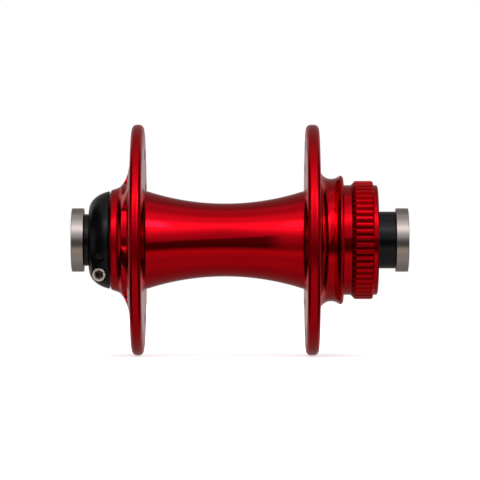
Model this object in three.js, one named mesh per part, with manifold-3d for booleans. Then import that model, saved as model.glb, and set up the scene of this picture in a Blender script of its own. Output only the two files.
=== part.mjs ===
// Front disc-brake bicycle hub for a 12 mm thru-axle, built as its separate pieces.
// Millimetres, +Z up. The axle lies along Y: the brake rotor's side is +Y, the bearing adjuster's side
// is -Y. The origin is on the axle's axis, midway between the end caps' outer faces.
// Outlines are lists of [radius, y] or [radius, y, corner radius], turned about Y.

import * as THREE from "three";
import { mergeVertices } from "three/addons/utils/BufferGeometryUtils.js";
import Module from "manifold-3d";

const wasm = await Module();
wasm.setup();

// ---------------------------------------------------------------- driving dimensions

const OVER_LOCKNUT = 100;
const THRU_AXLE_BORE_R = 6.05;
const TURN_SEGMENTS = 28;
const CORNER_STEPS = 2;
const FIT_GAP = 0.04;

// spoke flanges
const FLANGE_R = 34.3;
const FLANGE_CORNER = 1.75;
const ADJUSTER_FLANGE = { outboard: -32.1, inboard: -28.5, firstHole: -3.4 };
const DISC_FLANGE = { outboard: 23.45, inboard: 19.5, firstHole: 11.6 };
const SPOKE_HOLES_PER_FLANGE = 12;
const SPOKE_HOLE_R = 1.3;
const SPOKE_HOLE_SIDES = 10;
const SPOKE_CIRCLE_R = 28.8;

// barrel: a shallow arc of revolution
const WAIST_R = 10.87;
const WAIST_Y = -4.4;
const BARREL_ARC_R = 75;
const BARREL_STEPS = 7;
const FLANGE_ROOT_FILLET = 2.2;
// the flanges' inner faces are dished: this much farther apart at the root than at the rim
const FLANGE_DISH = 0.7;

// relief pockets at the outboard root of the adjuster-side flange
const POCKET_COUNT = 6;
const POCKET_INNER_R = 16.7;
const POCKET_OUTER_R = 20.8;
const POCKET_HALF_ANGLE = 16.5;
const POCKET_CENTRE = 11.6;
const POCKET_FLOOR_Y = -31.9;

// rotor mount
const SPLINE_TEETH = 54;
const SPLINE_FIRST_TOOTH = 1.92;
const SPLINE_TIP_R = 17.57;
const SPLINE_ROOT_R = 16.6;
const SPLINE_START = 32.9;
const SPLINE_END = 39.4;
const SPLINE_START_TAPER = 1.3;
const SPLINE_END_TAPER = 0.5;
const ROTOR_SEAT_Y = 30.6;
const ROTOR_SEAT_R = 19.15;
const ROTOR_PILOT_R = 16.33;
const LOCKRING_BORE_R = 14.9;
const SHELL_DISC_END = 40.85;
const SHELL_ADJUSTER_END = -38.4;
const SHELL_BORE_R = 9.5;
const SHELL_BORE_WIDE_R = 11.9;
const BOSS_R = 14.75;
const BOSS_CORNER = 0.8;
const END_CHAMFER = 0.35;

// cartridge bearings, 17 x 26 x 5
const BEARING_BORE_R = 8.5;
const BEARING_OUTER_R = 13;
const BEARING_HALF_WIDTH = 2.5;
const BALL_R = 1.19;
const BALL_PITCH_R = 10.75;
const BALL_COUNT = 16;
const BALL_TRACK_R = 1.27;
const INNER_LAND_R = 9.9;
const OUTER_LAND_R = 11.6;
const SEAL_SEAT_R = 12.1;
const SEAL_LIP_R = 10.05;
const SNAP_RING = { innerR: 11.2, outerR: 12.3, low: 2.05, high: 2.35, halfGap: 9 };
const OUTER_SEAL = { low: 1.6, high: 1.98 };
const INNER_SEAL = { low: -2.3, high: -1.8 };
const CAGE = { outerR: 11.4, low: -1.65, high: 0.75 };
const BEARINGS = { adjuster: { y: -35.2, side: -1 }, disc: { y: 30.4, side: 1 } };

// axle and end caps
const AXLE_JOURNAL_R = BEARING_BORE_R - FIT_GAP;
const AXLE_THREAD_R = 7.7;
const AXLE_THREAD_END = -32.4;
const AXLE_TUBE_R = 8.3;
const AXLE_COLLAR = { r: 9.3, y: 25 };
const AXLE_BORE_R = 6.3;
const CAP_SOCKET_R = 6.85;
const CAP_SOCKET_DEPTH = 10.5;
const CAP_R = 9.45;
const CAP_SPIGOT_R = 6.8;
const CAP_SPIGOT_LENGTH = 9.8;
const ADJUSTER_CAP_FACE = -46.35;
const DISC_CAP_FACE = 46.25;
const O_RING_WIRE_R = 0.25;
const CAP_O_RING_IN = 7.6;

// adjusting clamp
const CLAMP_OUTER_Y = -44.8;
const CLAMP_INNER_Y = -38.7;
const CLAMP_R = 14.5;
const CLAMP_BORE_R = 7.76;
const CLAMP_FACE_R = 9.6;
const CLAMP_SLIT = 0.9;
const CLAMP_SLIT_TOP_Z = -7.1;
const CLAMP_O_RING_Y = -43.4;
const PINCH_Y = -41.6;
const PINCH_Z = -10.2;
const PINCH_HEAD_R = 1.98;
const PINCH_HEAD_X = [5.3, 7.9];
const PINCH_SHANK_R = 1.2;
const PINCH_COUNTERBORE_R = 2.5;
const PINCH_TIP_X = -6.6;
const PINCH_SOCKET_FLATS = 2.4;
const PINCH_SOCKET_DEPTH = 1.5;
const TOOL_DIMPLE = { y: -41.3, angle: -22.5, r: 1.3, bottomR: 12.8 };

// adjusting cone, between the clamp and the adjuster-side bearing's inner race
const CONE_SHOULDER_R = 9.7;
const CONE_SPIGOT_R = 8.44;
const CONE_INNER_END = -33.3;

// ---------------------------------------------------------------- finishes

const FINISHES = {
  redAnodised: { color: 0xb0061c, roughness: 0.16, metalness: 1 },
  blackAnodised: { color: 0x17171a, roughness: 0.42, metalness: 0.6 },
  bareMetal: { color: 0xb4a7a0, roughness: 0.38, metalness: 1 },
  screwSteel: { color: 0x9c8f80, roughness: 0.3, metalness: 1 },
  bearingSteel: { color: 0xc4c6ca, roughness: 0.14, metalness: 1 },
  cageNylon: { color: 0xd9d2bd, roughness: 0.6, metalness: 0 },
  sealRubber: { color: 0x1c1c1e, roughness: 0.8, metalness: 0 },
};

// ---------------------------------------------------------------- geometry helpers

const radians = THREE.MathUtils.degToRad;

/** The point at an angle from +X towards +Z, on a circle about Y. */
function onCircle(radius, degrees) {
  return [radius * Math.cos(radians(degrees)), radius * Math.sin(radians(degrees))];
}

/** The points of a polyline whose corners with a third number are rounded to that radius. */
function rounded(corners) {
  const points = [];
  const count = corners.length;
  for (let i = 0; i < count; i += 1) {
    const [x, y, radius] = corners[i];
    const here = new THREE.Vector2(x, y);
    if (!radius) {
      points.push(here);
      continue;
    }
    const before = new THREE.Vector2(...corners[(i + count - 1) % count]).sub(here).normalize();
    const after = new THREE.Vector2(...corners[(i + 1) % count]).sub(here).normalize();
    const half = Math.acos(THREE.MathUtils.clamp(before.dot(after), -1, 1)) / 2;
    const centre = before.clone().add(after).normalize().multiplyScalar(radius / Math.sin(half)).add(here);
    const reach = radius / Math.tan(half);
    const first = here.clone().addScaledVector(before, reach).sub(centre);
    const last = here.clone().addScaledVector(after, reach).sub(centre);
    const sweep = Math.atan2(first.cross(last), first.dot(last));
    for (let step = 0; step <= CORNER_STEPS; step += 1) {
      const turned = first.clone().rotateAround(new THREE.Vector2(), (sweep * step) / CORNER_STEPS);
      points.push(turned.add(centre));
    }
  }
  return points;
}

/** Turns a closed outline about Y. The outline goes up y on its outer side and back down inside. */
function turned(corners, segments = TURN_SEGMENTS) {
  const outline = rounded(corners);
  return new THREE.LatheGeometry([...outline, outline[0].clone()], segments);
}

/** An outline written for the +Y side, for either side. */
function facing(side, corners) {
  const placed = corners.map(([r, y, corner]) => [r, y * side, corner]);
  return side > 0 ? placed : placed.reverse();
}

function lifted(corners, y) {
  return corners.map(([r, oldY, corner]) => [r, oldY + y, corner]);
}

/** A flat shape, drawn in X and Z, as thick as from yLow to yHigh. */
function prism(shape, yLow, yHigh, curveSegments = 8) {
  const options = { depth: yHigh - yLow, bevelEnabled: false, curveSegments };
  return new THREE.ExtrudeGeometry(shape, options).rotateX(Math.PI / 2).translate(0, yHigh, 0);
}

function solid(geometry) {
  const bare = geometry.index ? geometry.clone() : geometry;
  bare.deleteAttribute("normal");
  bare.deleteAttribute("uv");
  const merged = mergeVertices(bare, 1e-4);
  const whole = [];
  const index = merged.index.array;
  for (let i = 0; i < index.length; i += 3) {
    const [a, b, c] = [index[i], index[i + 1], index[i + 2]];
    if (a !== b && b !== c && c !== a) whole.push(a, b, c);
  }
  const vertProperties = new Float32Array(merged.attributes.position.array);
  const triVerts = new Uint32Array(whole);
  return new wasm.Manifold(new wasm.Mesh({ numProp: 3, vertProperties, triVerts }));
}

function geometryOf(manifold) {
  const { vertProperties, triVerts } = manifold.getMesh();
  const geometry = new THREE.BufferGeometry();
  geometry.setAttribute("position", new THREE.BufferAttribute(vertProperties, 3));
  geometry.setIndex(new THREE.BufferAttribute(triVerts, 1));
  geometry.computeVertexNormals();
  return geometry;
}

function carved(body, cutters) {
  const rest = cutters.reduce((left, cutter) => left.subtract(solid(cutter)), solid(body));
  return geometryOf(rest);
}

/** A cylinder from one point to another. */
function rod(radius, from, to, segments) {
  const [start, end] = [new THREE.Vector3(...from), new THREE.Vector3(...to)];
  const along = end.clone().sub(start);
  const geometry = new THREE.CylinderGeometry(radius, radius, along.length(), segments);
  const turn = new THREE.Quaternion().setFromUnitVectors(
    new THREE.Vector3(0, 1, 0),
    along.normalize(),
  );
  return geometry.applyQuaternion(turn).translate(...start.add(end).multiplyScalar(0.5).toArray());
}

function piece(name, geometry, finish) {
  const mesh = new THREE.Mesh(geometry, new THREE.MeshStandardMaterial(FINISHES[finish]));
  mesh.name = name;
  return mesh;
}

// ---------------------------------------------------------------- hub shell

/** The barrel's outside, from the adjuster-side flange to the disc-side one. */
function barrelOutline() {
  const from = ADJUSTER_FLANGE.inboard - FLANGE_DISH + FLANGE_ROOT_FILLET;
  const to = DISC_FLANGE.inboard + FLANGE_DISH - FLANGE_ROOT_FILLET;
  const points = [];
  for (let step = 0; step <= BARREL_STEPS; step += 1) {
    const y = THREE.MathUtils.lerp(from, to, step / BARREL_STEPS);
    const rise = BARREL_ARC_R - Math.sqrt(BARREL_ARC_R ** 2 - (y - WAIST_Y) ** 2);
    points.push([WAIST_R + rise, y]);
  }
  return points;
}

/** The concave sweep from the adjuster-side boss out to the flange's face. */
function bossSweep() {
  const curve = new THREE.CubicBezierCurve(
    new THREE.Vector2(15.35, -36.6),
    new THREE.Vector2(15.9, -34.2),
    new THREE.Vector2(21.5, -32.6),
    new THREE.Vector2(27, ADJUSTER_FLANGE.outboard),
  );
  return curve.getPoints(5).map((p) => [p.x, p.y]);
}

function shellOutside() {
  const barrel = barrelOutline();
  const root = FLANGE_ROOT_FILLET * 0.3;
  const [leftRoot, rightRoot] = [barrel[0][0], barrel[barrel.length - 1][0]];
  const leftFace = ADJUSTER_FLANGE.inboard - FLANGE_DISH;
  const rightFace = DISC_FLANGE.inboard + FLANGE_DISH;
  return [
    [BEARING_OUTER_R + FIT_GAP, SHELL_ADJUSTER_END],
    [BOSS_R, SHELL_ADJUSTER_END, BOSS_CORNER],
    ...bossSweep(),
    [FLANGE_R, ADJUSTER_FLANGE.outboard, FLANGE_CORNER],
    [FLANGE_R, ADJUSTER_FLANGE.inboard, FLANGE_CORNER],
    [leftRoot + FLANGE_ROOT_FILLET, leftFace],
    [leftRoot + root, leftFace + root],
    ...barrel,
    [rightRoot + root, rightFace - root],
    [rightRoot + FLANGE_ROOT_FILLET, rightFace],
    [FLANGE_R, DISC_FLANGE.inboard, FLANGE_CORNER],
    [FLANGE_R, DISC_FLANGE.outboard, FLANGE_CORNER],
    [21.2, DISC_FLANGE.outboard],
    [19.6, 24.4],
    [18.55, 25.6],
    [18.2, 27],
    [18.45, 28.5],
    [ROTOR_SEAT_R, 29.65],
    [ROTOR_SEAT_R, 30.05],
    [18.65, ROTOR_SEAT_Y],
    [ROTOR_PILOT_R, ROTOR_SEAT_Y],
    [ROTOR_PILOT_R, SHELL_DISC_END, 0.5],
  ];
}

function shellInside() {
  const { adjuster, disc } = BEARINGS;
  const bearingBore = BEARING_OUTER_R + FIT_GAP;
  const shoulder = BEARING_HALF_WIDTH + 0.1;
  return [
    [LOCKRING_BORE_R + END_CHAMFER, SHELL_DISC_END],
    [LOCKRING_BORE_R, SHELL_DISC_END - END_CHAMFER],
    [LOCKRING_BORE_R, disc.y + shoulder],
    [bearingBore, disc.y + shoulder],
    [bearingBore, disc.y - shoulder],
    [SHELL_BORE_WIDE_R, disc.y - shoulder],
    [SHELL_BORE_WIDE_R, 22],
    [SHELL_BORE_R, 13],
    [SHELL_BORE_R, -20],
    [SHELL_BORE_WIDE_R, -29],
    [SHELL_BORE_WIDE_R, adjuster.y + shoulder],
    [bearingBore, adjuster.y + shoulder],
  ];
}

/** The rotor spline's ring: straight teeth with tapered ends. */
function splineRing() {
  const shape = new THREE.Shape();
  const pitch = 360 / SPLINE_TEETH;
  const [rootHalf, tipHalf] = [pitch * 0.35, pitch * 0.22];
  for (let tooth = 0; tooth < SPLINE_TEETH; tooth += 1) {
    const centre = SPLINE_FIRST_TOOTH + tooth * pitch;
    const corners = [
      onCircle(SPLINE_ROOT_R, centre - rootHalf),
      onCircle(SPLINE_TIP_R, centre - tipHalf),
      onCircle(SPLINE_TIP_R, centre + tipHalf),
      onCircle(SPLINE_ROOT_R, centre + rootHalf),
    ];
    corners.forEach(([x, z], i) => (tooth + i === 0 ? shape.moveTo(x, z) : shape.lineTo(x, z)));
  }
  shape.closePath();
  const teeth = solid(prism(shape, SPLINE_START, SPLINE_END));
  const inside = (LOCKRING_BORE_R + ROTOR_PILOT_R) / 2;
  const outside = SPLINE_TIP_R + 0.1;
  const envelope = turned(
    [
      [inside, SPLINE_START],
      [ROTOR_PILOT_R, SPLINE_START],
      [outside, SPLINE_START + SPLINE_START_TAPER],
      [outside, SPLINE_END - SPLINE_END_TAPER],
      [outside - 0.9 * SPLINE_END_TAPER, SPLINE_END],
      [inside, SPLINE_END],
    ],
    SPLINE_TEETH,
  );
  return teeth.intersect(solid(envelope));
}

function spokeHoles(flange) {
  const past = 0.5;
  const low = Math.min(flange.outboard, flange.inboard) - past;
  const high = Math.max(flange.outboard, flange.inboard) + past;
  return Array.from({ length: SPOKE_HOLES_PER_FLANGE }, (_, i) => {
    const [x, z] = onCircle(SPOKE_CIRCLE_R, flange.firstHole + (i * 360) / SPOKE_HOLES_PER_FLANGE);
    return rod(SPOKE_HOLE_R, [x, low, z], [x, high, z], SPOKE_HOLE_SIDES);
  });
}

/** A curved slot with round ends, cut into the flange's root from outboard. */
function pocket(index) {
  const centre = POCKET_CENTRE + (index * 360) / POCKET_COUNT;
  const [start, end] = [radians(centre - POCKET_HALF_ANGLE), radians(centre + POCKET_HALF_ANGLE)];
  const middleR = (POCKET_INNER_R + POCKET_OUTER_R) / 2;
  const endR = (POCKET_OUTER_R - POCKET_INNER_R) / 2;
  const shape = new THREE.Shape();
  shape.absarc(0, 0, POCKET_OUTER_R, start, end, false);
  shape.absarc(middleR * Math.cos(end), middleR * Math.sin(end), endR, end, end + Math.PI, false);
  shape.absarc(0, 0, POCKET_INNER_R, end, start, true);
  shape.absarc(middleR * Math.cos(start), middleR * Math.sin(start), endR, start + Math.PI, start, false);
  return prism(shape, SHELL_ADJUSTER_END, POCKET_FLOOR_Y, 3);
}

function hubShell() {
  const body = turned([...shellOutside(), ...shellInside()]);
  const joined = solid(body).add(splineRing());
  const cutters = [...spokeHoles(ADJUSTER_FLANGE), ...spokeHoles(DISC_FLANGE)];
  for (let i = 0; i < POCKET_COUNT; i += 1) cutters.push(pocket(i));
  return carved(geometryOf(joined), cutters);
}

// ---------------------------------------------------------------- axle, end caps and O-rings

function axle() {
  const [low, high] = [ADJUSTER_CAP_FACE + 0.05, DISC_CAP_FACE - 0.05];
  const shoulder = BEARINGS.disc.y - BEARING_HALF_WIDTH - 0.03;
  return turned([
    [CAP_SOCKET_R, low],
    [AXLE_THREAD_R - 0.2, low],
    [AXLE_THREAD_R, low + 0.2],
    [AXLE_THREAD_R, AXLE_THREAD_END],
    [AXLE_TUBE_R, AXLE_THREAD_END + 0.8],
    [AXLE_TUBE_R, AXLE_COLLAR.y - 1],
    [AXLE_COLLAR.r, AXLE_COLLAR.y],
    [AXLE_COLLAR.r, shoulder],
    [AXLE_JOURNAL_R, shoulder],
    [AXLE_JOURNAL_R, high - 0.25],
    [AXLE_JOURNAL_R - 0.25, high],
    [CAP_SOCKET_R, high],
    [CAP_SOCKET_R, high - CAP_SOCKET_DEPTH],
    [AXLE_BORE_R, high - CAP_SOCKET_DEPTH],
    [AXLE_BORE_R, low + CAP_SOCKET_DEPTH],
    [CAP_SOCKET_R, low + CAP_SOCKET_DEPTH],
  ]);
}

function endCap(side, face) {
  const outer = OVER_LOCKNUT / 2;
  const inner = Math.abs(face);
  const groove = inner - CAP_O_RING_IN;
  const grooveR = CAP_SPIGOT_R - 2 * O_RING_WIRE_R;
  const reach = O_RING_WIRE_R + 0.05;
  return turned(
    facing(side, [
      [THRU_AXLE_BORE_R, inner - CAP_SPIGOT_LENGTH],
      [CAP_SPIGOT_R - 0.3, inner - CAP_SPIGOT_LENGTH],
      [CAP_SPIGOT_R, inner - CAP_SPIGOT_LENGTH + 0.3],
      [CAP_SPIGOT_R, groove - reach],
      [grooveR, groove - reach],
      [grooveR, groove + reach],
      [CAP_SPIGOT_R, groove + reach],
      [CAP_SPIGOT_R, inner],
      [CAP_R - 0.15, inner],
      [CAP_R, inner + 0.15],
      [CAP_R, outer - 0.25],
      [CAP_R - 0.25, outer],
      [THRU_AXLE_BORE_R + 0.3, outer],
      [THRU_AXLE_BORE_R, outer - 0.3],
    ]),
  );
}

function oRing(radius, y) {
  const corners = [];
  for (let i = 0; i < 6; i += 1) {
    const angle = (i * Math.PI) / 3;
    corners.push([radius + O_RING_WIRE_R * Math.cos(angle), y + O_RING_WIRE_R * Math.sin(angle)]);
  }
  return turned(corners);
}

function capORing(side, face) {
  const y = side * (Math.abs(face) - CAP_O_RING_IN);
  return oRing(CAP_SPIGOT_R - O_RING_WIRE_R + 0.02, y);
}

// ---------------------------------------------------------------- adjusting clamp and pinch screw

function clampDome() {
  const curve = new THREE.CubicBezierCurve(
    new THREE.Vector2(CLAMP_FACE_R, CLAMP_OUTER_Y),
    new THREE.Vector2(12, CLAMP_OUTER_Y + 0.4),
    new THREE.Vector2(13.85, CLAMP_OUTER_Y + 2.8),
    new THREE.Vector2(CLAMP_R, CLAMP_INNER_Y - 0.2),
  );
  return curve.getPoints(5).map((p) => [p.x, p.y]);
}

/** The clamp's slit, which lies below its bore and opens at its rim. */
function clampSlit() {
  const length = CLAMP_INNER_Y - CLAMP_OUTER_Y + 1;
  const bottomZ = -CLAMP_R - 0.5;
  const slit = new THREE.BoxGeometry(CLAMP_SLIT, length, CLAMP_SLIT_TOP_Z - bottomZ);
  return slit.translate(0, (CLAMP_INNER_Y + CLAMP_OUTER_Y) / 2, (CLAMP_SLIT_TOP_Z + bottomZ) / 2);
}

function adjustingClamp() {
  const grooveR = CLAMP_BORE_R + 2 * O_RING_WIRE_R;
  const reach = O_RING_WIRE_R + 0.05;
  const body = turned([
    [CLAMP_BORE_R, CLAMP_OUTER_Y],
    ...clampDome(),
    [CLAMP_R - 0.2, CLAMP_INNER_Y],
    [CLAMP_BORE_R, CLAMP_INNER_Y],
    [CLAMP_BORE_R, CLAMP_O_RING_Y + reach],
    [grooveR, CLAMP_O_RING_Y + reach],
    [grooveR, CLAMP_O_RING_Y - reach],
    [CLAMP_BORE_R, CLAMP_O_RING_Y - reach],
  ]);
  const [dimpleX, dimpleZ] = onCircle(1, TOOL_DIMPLE.angle);
  const dimpleAt = (radius) => [radius * dimpleX, TOOL_DIMPLE.y, radius * dimpleZ];
  const seat = PINCH_HEAD_X[0] - 0.1;
  const pinchAt = (x) => [x, PINCH_Y, PINCH_Z];
  return carved(body, [
    clampSlit(),
    rod(PINCH_COUNTERBORE_R, pinchAt(seat), pinchAt(CLAMP_R), 16),
    rod(PINCH_SHANK_R + 0.1, pinchAt(-CLAMP_R), pinchAt(seat + 0.1), 12),
    rod(TOOL_DIMPLE.r, dimpleAt(TOOL_DIMPLE.bottomR), dimpleAt(CLAMP_R + 0.5), 12),
  ]);
}

function adjustingCone() {
  const raceFace = BEARINGS.adjuster.y - BEARING_HALF_WIDTH - 0.03;
  return turned([
    [CLAMP_BORE_R, CLAMP_INNER_Y + FIT_GAP],
    [CONE_SHOULDER_R, CLAMP_INNER_Y + FIT_GAP],
    [CONE_SHOULDER_R, raceFace],
    [CONE_SPIGOT_R, raceFace],
    [CONE_SPIGOT_R, CONE_INNER_END],
    [CLAMP_BORE_R, CONE_INNER_END],
  ]);
}

function pinchScrew() {
  const at = (x) => [x, PINCH_Y, PINCH_Z];
  const [headStart, headEnd] = PINCH_HEAD_X;
  const head = rod(PINCH_HEAD_R, at(headStart), at(headEnd), 16);
  const shank = rod(PINCH_SHANK_R, at(PINCH_TIP_X), at(headStart + 0.2), 10);
  const socketR = PINCH_SOCKET_FLATS / Math.sqrt(3);
  const socket = rod(socketR, at(headEnd - PINCH_SOCKET_DEPTH), at(headEnd + 1), 6);
  return geometryOf(solid(head).add(solid(shank)).subtract(solid(socket)));
}

// ---------------------------------------------------------------- cartridge bearings

/** The ball track's arc, from below to above the balls' centre. outward is 1 in the outer race. */
function trackArc(landR, outward) {
  const rise = Math.abs(landR - BALL_PITCH_R);
  const half = Math.acos(rise / BALL_TRACK_R);
  return [-1, -0.5, 0, 0.5, 1].map((share) => [
    BALL_PITCH_R + outward * BALL_TRACK_R * Math.cos(half * share),
    BALL_TRACK_R * Math.sin(half * share),
  ]);
}

function innerRace() {
  return [
    [BEARING_BORE_R, -BEARING_HALF_WIDTH],
    [INNER_LAND_R, -BEARING_HALF_WIDTH],
    ...trackArc(INNER_LAND_R, -1),
    [INNER_LAND_R, BEARING_HALF_WIDTH],
    [BEARING_BORE_R, BEARING_HALF_WIDTH],
  ];
}

function outerRace() {
  const chamfer = 0.25;
  const [grooveR, grooveGap] = [SNAP_RING.outerR + 0.12, 0.03];
  return [
    [BEARING_OUTER_R - chamfer, -BEARING_HALF_WIDTH],
    [BEARING_OUTER_R, -BEARING_HALF_WIDTH + chamfer],
    [BEARING_OUTER_R, BEARING_HALF_WIDTH],
    [SEAL_SEAT_R, BEARING_HALF_WIDTH],
    [SEAL_SEAT_R, SNAP_RING.high + grooveGap],
    [grooveR, SNAP_RING.high + grooveGap],
    [grooveR, SNAP_RING.low - grooveGap],
    [SEAL_SEAT_R, SNAP_RING.low - grooveGap],
    [SEAL_SEAT_R, OUTER_SEAL.low - 0.05],
    [OUTER_LAND_R, OUTER_SEAL.low - 0.05],
    ...trackArc(OUTER_LAND_R, 1).reverse(),
    [OUTER_LAND_R, INNER_SEAL.high + 0.05],
    [SEAL_SEAT_R, INNER_SEAL.high + 0.05],
    [SEAL_SEAT_R, -BEARING_HALF_WIDTH],
  ];
}

function washer(innerR, outerR, { low, high }) {
  return [
    [innerR, low],
    [outerR, low],
    [outerR, high],
    [innerR, high],
  ];
}

/** An open ring that springs into the outer race's groove and holds the outboard seal. */
function snapRing(y, side) {
  const { innerR, outerR, low, high, halfGap } = SNAP_RING;
  const [start, end] = [radians(90 + halfGap), radians(450 - halfGap)];
  const shape = new THREE.Shape();
  shape.absarc(0, 0, outerR, start, end, false);
  shape.absarc(0, 0, innerR, end, start, true);
  const faces = [y + side * low, y + side * high];
  return prism(shape, Math.min(...faces), Math.max(...faces), 12);
}

/** A crown-shaped ring with a round pocket for each ball, open on its outboard side. */
function ballCage(y, side) {
  const body = turned(lifted(facing(side, washer(SEAL_LIP_R, CAGE.outerR, CAGE)), y));
  const pockets = ballCentres(y).map(([x, , z]) => {
    const [inside, outside] = [0.85, 1.15].map((share) => [x * share, y, z * share]);
    return rod(BALL_R + 0.13, inside, outside, 8);
  });
  return carved(body, pockets);
}

function ballCentres(y) {
  return Array.from({ length: BALL_COUNT }, (_, i) => {
    const [x, z] = onCircle(BALL_PITCH_R, (i * 360) / BALL_COUNT);
    return [x, y, z];
  });
}

function bearing(label) {
  const { y, side } = BEARINGS[label];
  const ring = (outline) => turned(lifted(facing(side, outline), y));
  const seal = (heights) => ring(washer(SEAL_LIP_R, SEAL_SEAT_R - FIT_GAP, heights));
  const pieces = [
    piece(`${label}_inner_race`, ring(innerRace()), "bearingSteel"),
    piece(`${label}_outer_race`, ring(outerRace()), "bearingSteel"),
    piece(`${label}_ball_cage`, ballCage(y, side), "cageNylon"),
    piece(`${label}_outer_seal`, seal(OUTER_SEAL), "sealRubber"),
    piece(`${label}_inner_seal`, seal(INNER_SEAL), "sealRubber"),
    piece(`${label}_snap_ring`, snapRing(y, side), "bearingSteel"),
  ];
  ballCentres(y).forEach((at, i) => {
    const ball = piece(
      `${label}_ball_${String(i + 1).padStart(2, "0")}`,
      new THREE.SphereGeometry(BALL_R, 8, 4),
      "bearingSteel",
    );
    ball.position.set(...at);
    pieces.push(ball);
  });
  return pieces;
}

// ---------------------------------------------------------------- assembly

const hub = new THREE.Group();
hub.add(
  piece("hub_shell", hubShell(), "redAnodised"),
  piece("axle", axle(), "blackAnodised"),
  piece("adjusting_clamp", adjustingClamp(), "blackAnodised"),
  piece("adjusting_cone", adjustingCone(), "bareMetal"),
  piece("clamp_o_ring", oRing(CLAMP_BORE_R + O_RING_WIRE_R - 0.02, CLAMP_O_RING_Y), "sealRubber"),
  piece("pinch_screw", pinchScrew(), "screwSteel"),
  piece("adjuster_end_cap", endCap(-1, ADJUSTER_CAP_FACE), "bareMetal"),
  piece("adjuster_end_cap_o_ring", capORing(-1, ADJUSTER_CAP_FACE), "sealRubber"),
  piece("disc_end_cap", endCap(1, DISC_CAP_FACE), "bareMetal"),
  piece("disc_end_cap_o_ring", capORing(1, DISC_CAP_FACE), "sealRubber"),
  ...bearing("adjuster"),
  ...bearing("disc"),
);

export default hub;
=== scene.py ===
"""The looks of a front disc-brake hub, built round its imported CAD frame.

Sizes are in millimetres until a mesh is made, and then in metres. The hub's axle lies along Y with the
rotor's side at +Y. Outlines are (radius, y) or (radius, y, corner radius) and are turned about Y.
"""

import math

import bmesh
import bpy
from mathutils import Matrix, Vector
from mathutils.geometry import tessellate_polygon


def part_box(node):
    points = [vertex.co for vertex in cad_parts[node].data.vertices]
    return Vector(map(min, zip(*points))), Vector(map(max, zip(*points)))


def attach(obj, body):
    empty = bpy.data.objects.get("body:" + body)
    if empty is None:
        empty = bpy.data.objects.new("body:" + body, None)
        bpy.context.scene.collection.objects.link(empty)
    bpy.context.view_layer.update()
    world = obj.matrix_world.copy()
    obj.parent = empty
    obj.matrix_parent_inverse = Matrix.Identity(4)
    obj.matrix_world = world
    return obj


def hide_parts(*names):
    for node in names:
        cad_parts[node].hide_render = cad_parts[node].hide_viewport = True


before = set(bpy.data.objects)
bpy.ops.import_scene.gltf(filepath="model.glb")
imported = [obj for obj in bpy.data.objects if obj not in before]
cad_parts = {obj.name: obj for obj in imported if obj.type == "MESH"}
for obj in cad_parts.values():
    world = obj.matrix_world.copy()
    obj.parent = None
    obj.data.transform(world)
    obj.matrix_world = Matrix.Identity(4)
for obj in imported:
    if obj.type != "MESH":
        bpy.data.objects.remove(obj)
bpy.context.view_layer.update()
MM = 0.001
TAU = 2 * math.pi


def millimetres(node):
    low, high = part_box(node)
    return low / MM, high / MM


# ---- sizes, from the frame where it says them

SHELL_LOW, SHELL_HIGH = millimetres("hub_shell")
FLANGE_R = SHELL_HIGH.z
FLANGE_CORNER = 1.5
FLANGE_DISH = 0.7
DISH_ROOT_R = 17.0
LEFT_FLANGE = {"outboard": -32.1, "inboard": -28.5, "first_hole": -3.4}
RIGHT_FLANGE = {"outboard": 23.45, "inboard": 19.5, "first_hole": 11.6}
HOLE_COUNT = 12
HOLE_R = 1.3
HOLE_EDGE = 0.45
HOLE_CIRCLE_R = 28.8

WAIST_R = 10.87
WAIST_Y = -4.4
BARREL_ARC_R = 75.0
ROOT_FILLET = 2.4

POCKET_COUNT = 6
POCKET_MIDDLE_R = 18.75
POCKET_HALF_WIDTH = 2.05
POCKET_HALF_ANGLE = math.radians(16.5)
POCKET_CENTRE = math.radians(11.6)
POCKET_FLOOR_Y = -31.9
POCKET_EDGE = 0.28

TEETH = 54
FIRST_TOOTH = math.radians(1.92)
TOOTH_TIP_R = 17.57
TOOTH_ROOT_R = 16.6
SPLINE_START = 32.9
SPLINE_END = 39.4
PILOT_R = 16.33
SEAT_Y = 30.6
SEAT_R = 19.15
LOCKRING_R = 14.9
LOCKRING_BEVEL = 0.35
BEARING_STOP_R = 11.9
SHELL_BORE_R = 9.5
BEARING_BORE_R = 13.04

RIM_SEGMENTS = 240
FINE_STEPS = 8

# the shell's finishes by their place in its list of materials, where 0 is polished and 2 is a darker red
# painted as shade in the grooves and spoke holes
TURNED = 1
GROOVE_SHADE = 2


# ---- turned outlines

class Station:
    """A point of an outline, with the outward normal of the stretch before it and of the one after."""

    def __init__(self, r, y, before=None, after=None):
        self.r = r
        self.y = y
        self.before = before
        self.after = after


def place(corner):
    return Vector((corner.r, corner.y)) if isinstance(corner, Station) else Vector(corner[:2])


def side_normal(a, b):
    dr, dy = b[0] - a[0], b[1] - a[1]
    size = math.hypot(dr, dy) or 1.0
    return dy / size, -dr / size


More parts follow.
